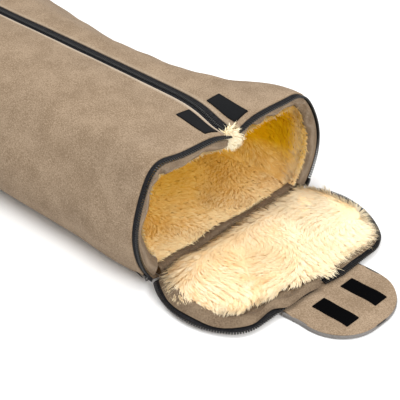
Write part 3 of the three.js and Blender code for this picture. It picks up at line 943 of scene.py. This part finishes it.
def locks(name, roots, outs, combs, length, width, seed, cream, clump=8.0, rise=0.26):
    """Tapered locks of wool, five points each, whose tips gather towards those of their clump.
    rise is how far a lock stands up for each unit of its length."""
    rng = np.random.default_rng(seed)
    count = len(roots)
    size = (np.broadcast_to(length, count) * rng.uniform(0.7, 1.2, count))[:, None]
    outs, combs = unit(outs), unit(combs)
    tips = roots + size * (rise * outs + (1 - rise * 0.6) * combs + rng.normal(0, 0.1, (count, 3)))
    cell = np.floor((tips + rng.uniform(0, clump, 3)) / clump).astype(int)
    group = np.unique(cell, axis=0, return_inverse=True)[1].ravel()
    share = np.bincount(group)[:, None]
    middles = np.stack([np.bincount(group, tips[:, i]) for i in range(3)], axis=1) / share
    tips += rng.uniform(0.15, 0.6, (count, 1)) * (middles[group] - tips)
    angle = rng.normal(0, 0.8, count)[:, None]
    half = unit(np.cross(outs, combs)) * np.cos(angle) + combs * np.sin(angle)
    half *= width / 2 * rng.uniform(0.7, 1.3, (count, 1))
    half *= np.where(np.sum(np.cross(half, tips - roots) * outs, axis=1) < 0, -1, 1)[:, None]
    bend = roots + 0.5 * (tips - roots) + size * 0.1 * outs
    points = np.stack([roots - half * 0.8, roots + half * 0.8, bend - half, bend + half, tips], axis=1)
    mesh = bpy.data.meshes.new(name)
    mesh.vertices.add(count * 5)
    mesh.loops.add(count * 7)
    mesh.polygons.add(count * 2)
    first = np.arange(count)[:, None] * 5
    mesh.vertices.foreach_set("co", (points * MM).astype(np.float32).ravel())
    mesh.loops.foreach_set("vertex_index", (first + [0, 1, 3, 2, 2, 3, 4]).astype(np.int32).ravel())
    mesh.polygons.foreach_set("loop_start", (np.arange(count)[:, None] * 7 + [0, 4]).astype(np.int32).ravel())
    mesh.update()
    mesh.polygons.foreach_set("use_smooth", np.ones(count * 2, dtype=bool))
    leaning = unit(outs + 0.25 * unit(tips - roots) + rng.normal(0, 0.08, (count, 3)))
    mesh.normals_split_custom_set_from_vertices(np.repeat(leaning, 5, axis=0).tolist())
    piece = new_object(name, mesh)
    tone = 0.4 + rng.normal(0, 0.22, share.shape[0])[group] + rng.uniform(-0.2, 0.2, count)
    paint(piece, "along", np.tile([0, 0, 0.5, 0.5, 1.0], count))
    paint(piece, "tone", np.repeat(np.clip(tone, 0, 1), 5))
    paint(piece, "cream", np.repeat(np.broadcast_to(cream, count), 5))
    gild(piece)
    return piece


def fleece_base(piece, cream, material, body, node):
    """Paints the springy base under a panel's locks, and says what it is part of."""
    paint(piece, "along", 0.25)
    paint(piece, "tone", 0.35)
    paint(piece, "cream", cream)
    gild(piece)
    finish_piece(piece, material, body, "lambskin", node)


def near_first(rng, count, start, dense_end, end, dense_share):
    """Distances behind the mouth for locks that stand closer together near it."""
    dense = rng.uniform(0, 1, count) < dense_share
    return np.where(dense, rng.uniform(start, dense_end, count), rng.uniform(dense_end, end, count))


def anywhere_in(values, rng, count):
    """Random values from a row of them, as close together as the row's own are."""
    return np.interp(rng.uniform(0, len(values) - 1, count), np.arange(len(values)), values)


def inwards_at(back, turn, depth, side):
    here = on_bag(back, turn, depth, side, ZIP_GROOVE)
    return here, on_bag(back, turn, depth + 1, side, ZIP_GROOVE) - here


def swelling(back, turn, side):
    """Lumps in the panel's wool. The left panel also bulges where the facing presses it back."""
    lumps = 1.3 * ripple(np.stack([back, turn * 95, 0 * turn], axis=-1), 60, 41 + side)
    return lumps + (5 if side < 0 else 0.8) * (1 - ease(back, 26, 120))


EVEN_TURNS = even_turns(lambda t: on_bag(200, t, 15, 1), 11, 0.0, 4.0)
LINING_TURNS = np.concatenate([[0], EVEN_TURNS, [4]])
for name, side in SIDES:
    def skin(back, turn, depth, side=side):
        return on_bag(back, turn, LINING_DEPTH + depth + swelling(back, turn, side), side, ZIP_GROOVE)
    backs = np.concatenate([steps(FACING_BACK[side] - 1, 220, 9), steps(232, FRONT_LENGTH - 4, 16)])
    base = sheet_of(f"lambskin_{name}", backs, LINING_TURNS, skin, BASE)
    back = MOUTH_X - points_of(base)[:, 0]
    # Painted highlight: the lining's front edge is paler cream, where the pile's edge catches the light.
    fleece_base(base, 0.75 * (1 - ease(back, 26, 55)), golden, "bag", f"front_lining_{name}")

    rng = np.random.default_rng(50 + side)
    count = 30000
    back = near_first(rng, count, FACING_BACK[side], 240, FRONT_LENGTH - 6, 0.62)
    turn = anywhere_in(LINING_TURNS, rng, count)
    turn = np.where(rng.uniform(0, 1, count) < 0.05, rng.uniform(0, 0.5, count), turn)
    roots, inwards = inwards_at(back, turn, LINING_DEPTH + BASE - 1 + swelling(back, turn, side), side)
    swirl = ripple(roots, 120, 60 + side)[:, None]
    combs = np.array([1.0, 0, -0.3]) + swirl * np.array([0.2, 0.9, 0.5])
    # The locks at the front are painted paler too, the same painted highlight.
    wool = locks(
        f"wool_{name}", roots, inwards, combs, 15, 1.7 + 2.2 * ease(back, 200, 300)[:, None],
        70 + side, 0.4 * (1 - ease(back, 28, 50)),
    )
    finish_piece(wool, golden, "bag", "lambskin", f"front_lining_{name}")

    count = 3600
    back = FACING_BACK[side] + rng.uniform(-2, 4, count)
    turn = anywhere_in(LINING_TURNS, rng, count)
    deep = 20.4 * FACING_REACH[side] + rng.uniform(0, 2.5, count)
    roots, inwards = inwards_at(back, turn, deep, side)
    combs = np.array([1.0, 0, 0]) + rng.normal(0, 0.25, (count, 3))
    # Painted highlight: the rim's wool is paler, most on the left, where its edges catch the light.
    paleness = rng.uniform(0, 0.5, count) + (0.5 if side < 0 else 0.05)
    wool = locks(f"rim_wool_{name}", roots, inwards, combs, 10, 1.7, 80 + side, paleness, rise=0.4)
    finish_piece(wool, golden, "bag", "lambskin", f"front_lining_{name}")


def floor_skin(back, across, depth):
    lumps = 1.3 * ripple(np.stack([back, across * 150, 0 * back], axis=-1), 60, 44)
    trimmed = 0.2 + 5.8 * ease(back, FRONT_LENGTH - 6, FRONT_LENGTH + 12)
    head = 1 - trimmed / flat_edge(np.minimum(back, FRONT_LENGTH))
    y = middle_y(back) + (back_plan(back, across) - middle_y(back)) * head
    return np.stack([MOUTH_X - back, y, 3.6 + depth + lumps * ease(depth, 1, BASE)], axis=-1)


base = sheet_of(
    "lambskin_back", np.concatenate([steps(25, 220, 9), steps(232, 880, 18), tip[3:] - 4]),
    np.linspace(-1, 1, 37), floor_skin, BASE,
)
back = MOUTH_X - points_of(base)[:, 0]
# Painted highlight: the floor's wool is paler at the mouth.
fleece_base(base, 0.4 * (1 - ease(back, 26, 55)), golden, "bag", "back_lining")

rng = np.random.default_rng(90)
count = 33000
back = near_first(rng, count, 26, 260, BASE_LENGTH - 8, 0.6)
across = rng.uniform(-1, 1, count)
roots = floor_skin(back, across, np.full(count, BASE - 1.2))
swirl = ripple(roots, 110, 91)[:, None]
combs = np.array([1.0, 0, 0]) + swirl * np.array([0.4, 1.0, 0])
# The floor's locks are painted paler near the mouth, the same painted highlight.
wool = locks(
    "wool_back", roots, np.tile([0, 0, 1.0], (count, 1)), combs, 15,
    1.7 + 2.2 * ease(back, 220, 320)[:, None], 92, 0.25 * (1 - ease(back, 26, 90)),
)
finish_piece(wool, golden, "bag", "lambskin", "back_lining")


# ---- Tuft at the top of the mouth ----
# A pinch of the lining's wool comes out through the gap where the three zips meet.
rng = np.random.default_rng(100)
count = 2600
centre = on_crown(np.array([15.0]), 0.0, 8.0, 1)[0]
ball = unit(rng.normal(size=(count, 3)))
roots = centre + ball * np.array([7.0, 10.0, 9.5])
combs = np.array([0.5, 0.1, -0.35]) + rng.normal(0, 0.5, (count, 3))
tuft = locks("tuft", roots, ball + [0.7, 0, 0.25], combs, 12, 1.2, 101, rng.uniform(0.6, 1, count), 7, 0.5)
finish_piece(tuft, golden, "bag", "lambskin", "lining_tuft")
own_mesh(tuft)


# ---- Loop pads on the top ----
# Two pads of loop tape sewn to the front, one on each side of the zip, which the tab's hook strips
# hold on to when it is folded over the closed end.
loops = Finish("black loop tape", {"Roughness": 0.9, "Specular IOR Level": 0.2})
curl = loops.noise(700, 2)
inner = loops.attribute("edge")
loops.set("Base Color", loops.blend(inner, loops.blend(curl, srgb(7, 8, 9), srgb(20, 21, 24)), srgb(5, 5, 6)))
loops.bump(curl, 0.5, 0.0006)


def distance_in(value, low, high):
    return np.minimum(value - low, high - value)


PATCH_NEAR, PATCH_FAR = 17, 42
PATCH_LENGTH = 60
PATCH_ROUND = 1.2
PATCH_ALONG = np.concatenate([[0, 0.7, 2], steps(5, 55, 5), [58, 59.3, PATCH_LENGTH]])
PATCH_ACROSS = np.concatenate([[PATCH_NEAR, 17.8], steps(20, 39, 3), [41.2, PATCH_FAR]])
PAD_BACK = 20


def touch_patch(name, start, place, thickness):
    """A patch of touch tape with rounded corners. It begins at start along its length."""
    middle = (PATCH_NEAR + PATCH_FAR) / 2

    def rounded_place(u, v, depth):
        inside = distance_in(u, start, start + PATCH_LENGTH)
        near_end = np.clip(PATCH_ROUND - inside, 0, PATCH_ROUND) / PATCH_ROUND
        pull_in = PATCH_ROUND * 0.55 * near_end ** 2
        return place(u, middle + (v - middle) * (1 - pull_in / (PATCH_FAR - PATCH_NEAR) * 2), depth)
    return sheet_of(name, start + PATCH_ALONG, PATCH_ACROSS, rounded_place, thickness, 0.3)


for name, side in SIDES:
    pad = touch_patch(
        f"soft_pad_{name}", PAD_BACK,
        lambda back, off, depth, side=side: on_crown(back, off, depth - 1.5, side), 1.6,
    )
    at = points_of(pad)
    back = MOUTH_X - at[:, 0]
    off = np.abs(at[:, 1] - middle_y(back) - zip_shift(back))
    border = np.minimum(
        distance_in(back, PAD_BACK, PAD_BACK + PATCH_LENGTH), distance_in(off, PATCH_NEAR, PATCH_FAR)
    )
    paint(pad, "edge", 1 - ease(border, 1.2, 3))
    finish_piece(pad, loops.material, "bag", "touch_tape", f"loop_pad_{name}")


# ---- Foot flap: felt, zip and facing ----
# The flap has the outline of the mouth. Felt lies underneath, then the zip's tape, then a facing
# whose border shows as a soft roll round the lambskin.
FLAP_BASE = 7.5
FLAP_CENTRE = np.array([588.0, 6.0])
LOOP_TURNS = even_turns(lambda t: on_bag(0, t, 10, 1, slack=False), 5.5, 0.55, 4.0)
LOOPS = np.concatenate([
    LOOP_TURNS, [4.0], 8 - LOOP_TURNS[::-1], np.linspace(8.01, 8.99, 40), [9 + LOOP_TURNS[0]]
])
REACH_AT = [-180, -136, -106, -38, 0, 40, 113, 135, 180]
REACHES = [0.94, 0.94, 0.945, 0.95, 0.965, 1, 0.98, 0.96, 0.95]


def flap_outline(loop, inset, start):
    """The flap's plan. loop runs up the right side to 4, down the left to 8 and along the fold."""
    loop, inset, start = np.broadcast_arrays(*(np.asarray(v, float) for v in (loop, inset, start)))
    again = loop % 9
    right = again <= 4
    turn = np.clip(np.where(right, again, 8 - again), LOOP_TURNS[0], 4)
    at = on_bag(0 * turn, turn, inset, np.where(right, 1, -1), slack=False)
    x = MOUTH_X - 1 + (at[:, 2] - HINGE_HEIGHT) * np.interp(at[:, 1], REACH_AT, REACHES)
    across = np.clip(again - 8, 0, 1)
    ends = on_bag(0 * turn, LOOP_TURNS[0] + 0 * turn, inset, 1, slack=False)[:, 1]
    y = np.where(again > 8, (2 * across - 1) * ends, at[:, 1])
    x = np.where(again > 8, start, np.maximum(x, start))
    return np.stack([x, y], axis=-1)


def raised(plan, height):
    """The points of a plan, lifted to one height or to a height for each."""
    return np.column_stack([plan, np.broadcast_to(height, len(plan))])


def plan_ripple(plan, size, seed):
    return ripple(raised(plan, 0), size, seed)


def flap_sag(plan):
    """The outer corners of the flap rest a little lower, on the table."""
    return -3.5 * ease(np.abs(plan[:, 1]), 80, 150) * ease(plan[:, 0], 530, 640)


def flap_disc(name, outline, height, rings):
    """A closed disc: ring runs from 0 at the middle to 1 at the rim on top, and on to 2 below."""
    def place(loop, ring):
        reach = np.where(ring <= 1, ring, 2 - ring)
        plan = FLAP_CENTRE + (outline(loop) - FLAP_CENTRE) * reach[:, None]
        return raised(plan, height(plan, ring) + flap_sag(plan))
    piece = bent_grid(name, LOOPS, rings, place)
    apply_modifier(piece, "WELD", merge_threshold=0.02 * MM)
    face_outwards(piece)
    bpy.ops.object.shade_smooth_by_angle(angle=math.radians(55))
    return piece


FLAP_RINGS = np.concatenate([np.linspace(0, 0.8, 9), np.linspace(0.84, 1, 9)])
UNDER_RINGS = np.concatenate([FLAP_RINGS, 2 - FLAP_RINGS[::-1][1:]])
flap_felt = flap_disc(
    "flap_felt", lambda loop: flap_outline(loop, 6.0, 502.9),
    lambda plan, ring: FLAP_BASE + 2.7 * (ring <= 1) - 0.4 * (ring == 1), UNDER_RINGS,
)
paint(flap_felt, "edge", 0)
finish_piece(flap_felt, felt, "flap", "wool_felt", "flap_outer_panel")


def flap_roll(plan, ring):
    low = (1 - 0.85 * ease(plan[:, 1], 50, 125)) * ease(plan[:, 0], 512, 545)
    ridge = (4.4 * hump(ring, 0.91, 0.065) + 1.5 * ease(ring, 0.6, 0.85)) * low
    wave = ease(ring, 0.8, 0.93) * (1.2 + 1.3 * plan_ripple(plan, 40, 110)) * (1 - ease(ring, 0.97, 1)) * low
    return np.where(ring > 1, 11.4, 12.9 + (ridge + wave) * (1 - 0.6 * ease(ring, 0.985, 1)))


def facing_outline(loop):
    plan = flap_outline(loop, 7.5, 505.0)
    wobble = 1.6 * plan_ripple(plan, 55, 111)
    front = ease(plan[:, 0], 600, 650)
    notch = 13 * hump(plan[:, 1], 22, 13) * front
    tucked = 9.5 * ease(-plan[:, 1], -6, 6) * (1 - ease(-plan[:, 1], 66, 86)) * front
    return flap_outline(loop, 8 + wobble + notch - tucked, 505.0)


flap_facing = flap_disc("flap_facing_roll", facing_outline, flap_roll, UNDER_RINGS)
paint(flap_facing, "edge", 0)
finish_piece(flap_facing, facing_felt, "flap", "facing_felt", "flap_facing")

FLAP_START_TURN = 0.7
for name, side in SIDES:
    def flap_at(turn, inset, height, side=side):
        plan = flap_outline(np.where(side > 0, turn, 8 - turn), inset, 503.0)
        return raised(plan, height + flap_sag(plan))

    def tape_at(turn, inset, depth):
        return flap_at(turn, inset, 10.2 + depth)
    end = 4 - 8 / on_bag(0, 3.0, 0, 1, slack=False)[1]
    zip_tape(
        f"flap_tape_{name}", np.linspace(FLAP_START_TURN, end, 70), np.linspace(3.4, 22, 5), tape_at,
        f"flap_zip_tape_{name}", "flap",
    )
    turns = even_turns(lambda t: flap_at(t, 2.4, 0), RIM_PITCH, FLAP_START_TURN, end)
    here = flap_at(turns, 2.4, 10.6)
    row_of(
        f"flap_teeth_{name}", f"flap_zip_teeth_{name}", "flap", here,
        flap_at(turns + 0.002, 2.4, 10.6) - here, flap_at(turns, 1.4, 10.6) - here,
        np.tile([0, 0, 1.0], (len(turns), 1)), RIM_TOOTH,
    )


# ---- Foot flap: lambskin ----
# A piece of the same lambskin, with longer wool that has stayed nearly white, sewn down inside
# the facing's border.
cream_wool = fleece_finish("cream lambskin", srgb(247, 208, 146), srgb(250, 226, 180), srgb(252, 241, 216))


def fur_outline(loop):
    plan = flap_outline(loop, 20.0, 512.0)
    left_front = ease(-plan[:, 1], 10, 110) * ease(plan[:, 0], 540, 620)
    wobble = 3.2 * plan_ripple(plan, 48, 120)
    right_side = ease(plan[:, 1], 60, 150)
    notch = -9 * hump(plan[:, 1], 22, 12) * ease(plan[:, 0], 600, 640)
    return flap_outline(loop, 24 + 14 * left_front - 8 * right_side + wobble + notch, 504 + 0.6 * wobble)


def fur_height(plan, ring):
    lumps = plan_ripple(plan, 62, 121)
    dome = (1 - np.clip(ring, 0, 1) ** 4) ** 0.6
    return np.where(ring > 1, 13.4, 15.2 + (12.5 + 2.2 * lumps) * dome)


FUR_RINGS = np.concatenate([np.linspace(0, 0.9, 15), [0.94, 0.97, 0.99, 1]])
base = flap_disc("flap_fleece", fur_outline, fur_height, np.concatenate([FUR_RINGS, [1.05, 1.3, 1.6, 2]]))
fleece_base(base, 0.3, cream_wool, "flap", "flap_lambskin")

rng = np.random.default_rng(122)
count = 36000
ring = np.sqrt(rng.uniform(0, 1, count)) * 0.995
loop = anywhere_in(LOOPS, rng, count)
rim_plan = fur_outline(loop)
plan = FLAP_CENTRE + (rim_plan - FLAP_CENTRE) * ring[:, None]
roots = raised(plan, fur_height(plan, ring) + flap_sag(plan) - 2)
away = raised(unit(rim_plan - FLAP_CENTRE), 0)
outs = np.array([0, 0, 1.0]) + away * 1.1 * ease(ring, 0.86, 1)[:, None]
swirl = ripple(roots, 95, 123)[:, None]
combs = np.array([0.5, -0.6, 0]) + swirl * np.array([0.9, 0.8, 0]) + away * ease(ring, 0.7, 1)[:, None] * 1.3
wool = locks("flap_wool", roots, outs, combs, 17, 1.2, 124, 0.08 + 0.6 * ease(plan[:, 1], -90, 120), 12, 0.2)
finish_piece(wool, cream_wool, "flap", "lambskin", "flap_lambskin")
for piece in (base, wool):
    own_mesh(piece)


# ---- Tab ----
# A rounded tab of two layers of felt, bound with grey tape. Its root is sewn under the front of
# the flap, and it folds there. Two hook strips are sewn to its upper face.
TAB_HALF = 76
TAB_ROUND = 65
TAB_TIP = 766.5
TAB_SHIFT = 5


def tab_half(x):
    over = np.clip((x - TAB_TIP + TAB_ROUND) / TAB_ROUND, 0, 1)
    return TAB_HALF - TAB_ROUND * (1 - np.sqrt(1 - over ** 2)) - 6 * (1 - ease(x, 650, 684))


def tab_middle(x):
    return TAB_SHIFT * ease(x, 650, 700)


def tab_place(x, across, height):
    flat = np.stack([x, across * TAB_HALF, 0 * x], axis=-1)
    warp = 3.2 * hump(x, 724, 30) + 0.7 * ripple(flat, 70, 130)
    return np.stack([x, tab_middle(x) + across * tab_half(x), height + warp * ease(x, 690, 740)], axis=-1)


def tab_stations(start):
    turned = np.sin(np.linspace(0.12, math.pi / 2 * 0.985, 16))
    return np.concatenate([steps(start, TAB_TIP - TAB_ROUND, 5), TAB_TIP - TAB_ROUND * (1 - turned)])


ACROSS_TAB = np.linspace(-1, 1, 25)
upper = sheet_of(
    "tab_felt", tab_stations(649), ACROSS_TAB,
    lambda x, across, depth: tab_place(x, across, 4.0 + depth + 0.7 * (1 - ease(x, 676, 686))), 2.5,
)
paint(upper, "edge", 0)
upper.data.materials.append(felt)
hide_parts("tab_upper_panel", "tab_root")
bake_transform(upper)

lower = sheet_of(
    "tab_felt_under", tab_stations(682), ACROSS_TAB,
    lambda x, across, depth: tab_place(x, across, 1.0 + depth), 2.5,
)
paint(lower, "edge", 0)
finish_piece(lower, felt, "tab", "wool_felt", "tab_lower_panel")

grey = Finish("grey edge tape", {"Roughness": 0.85})
rib = grey.noise(500, 1)
weave = grey.blend(rib, srgb(88, 85, 83), srgb(128, 124, 120))
grey.set("Base Color", grey.blend(grey.attribute("edge"), weave, srgb(42, 40, 39)))
grey.bump(rib, 0.3, 0.0004)


TAPE_START = 664.0


def tab_edge(along, grow):
    """The tab's edge, from 0 at its root to 1 at the tip's middle, or to -1 along the left."""
    rounded = TAB_TIP - TAB_ROUND
    turned = TAB_ROUND * math.pi / 2
    tip_half = TAB_HALF - TAB_ROUND
    whole = rounded - TAPE_START + turned + tip_half
    from_tip = np.clip(whole - np.abs(along) * whole, 0, None)
    on_tip = from_tip < tip_half
    on_turn = (~on_tip) & (from_tip < tip_half + turned)
    angle = np.clip((from_tip - tip_half) / TAB_ROUND, 0, math.pi / 2)
    x = np.where(on_tip, TAB_TIP + grow, rounded + (TAB_ROUND + grow) * np.cos(angle))
    y = np.where(on_tip, from_tip, tip_half + (TAB_ROUND + grow) * np.sin(angle))
    x = np.where(on_tip | on_turn, x, rounded - (from_tip - tip_half - turned))
    y = np.where(on_tip | on_turn, y, TAB_HALF + grow)
    return x, np.sign(along) * y


def tape_wall(along, ring):
    out, up = rounded_box(ring, 0.5)
    signed = np.where(along == 0, 1e-6, along)
    x, y = tab_edge(np.sign(signed) * (1 - np.abs(signed)), -0.6 + out * 1.7)
    return np.stack([x, tab_middle(x) + y, 3.9 + up * 3.0], axis=-1)


ends = 1 - np.concatenate([np.linspace(0.001, 0.5, 40), np.linspace(0.5, 1, 40)[1:]])
BIND = np.concatenate([-ends, ends[::-1][1:]])
tab_bound = roll("tab_edge_tape", BIND, RING, tape_wall)
at = points_of(tab_bound)
inside = tab_half(np.clip(at[:, 0], TAPE_START, TAB_TIP)) - np.abs(at[:, 1] - TAB_SHIFT)
paint(tab_bound, "edge", ease(inside, 0.6, 1.8) * (at[:, 2] > 5))
tab_bound.data.materials.append(grey.material)
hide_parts("tab_binding")
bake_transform(tab_bound)

HOOK_START = 683
hooks = Finish("black hook tape", {"Roughness": 0.8, "Specular IOR Level": 0.02})
prick = hooks.noise(900, 1)
hooks.set("Base Color", hooks.blend(prick, srgb(2, 2, 3), srgb(8, 8, 9)))
hooks.bump(prick, 0.4, 0.0005)
for name, side in SIDES:
    strip = touch_patch(
        f"hooks_{name}", HOOK_START,
        lambda x, y, depth, side=side: tab_place(x, side * y / tab_half(x), 6.5 + depth), 1.3,
    )
    finish_piece(strip, hooks.material, "tab", "touch_tape", f"hook_strip_{name}")
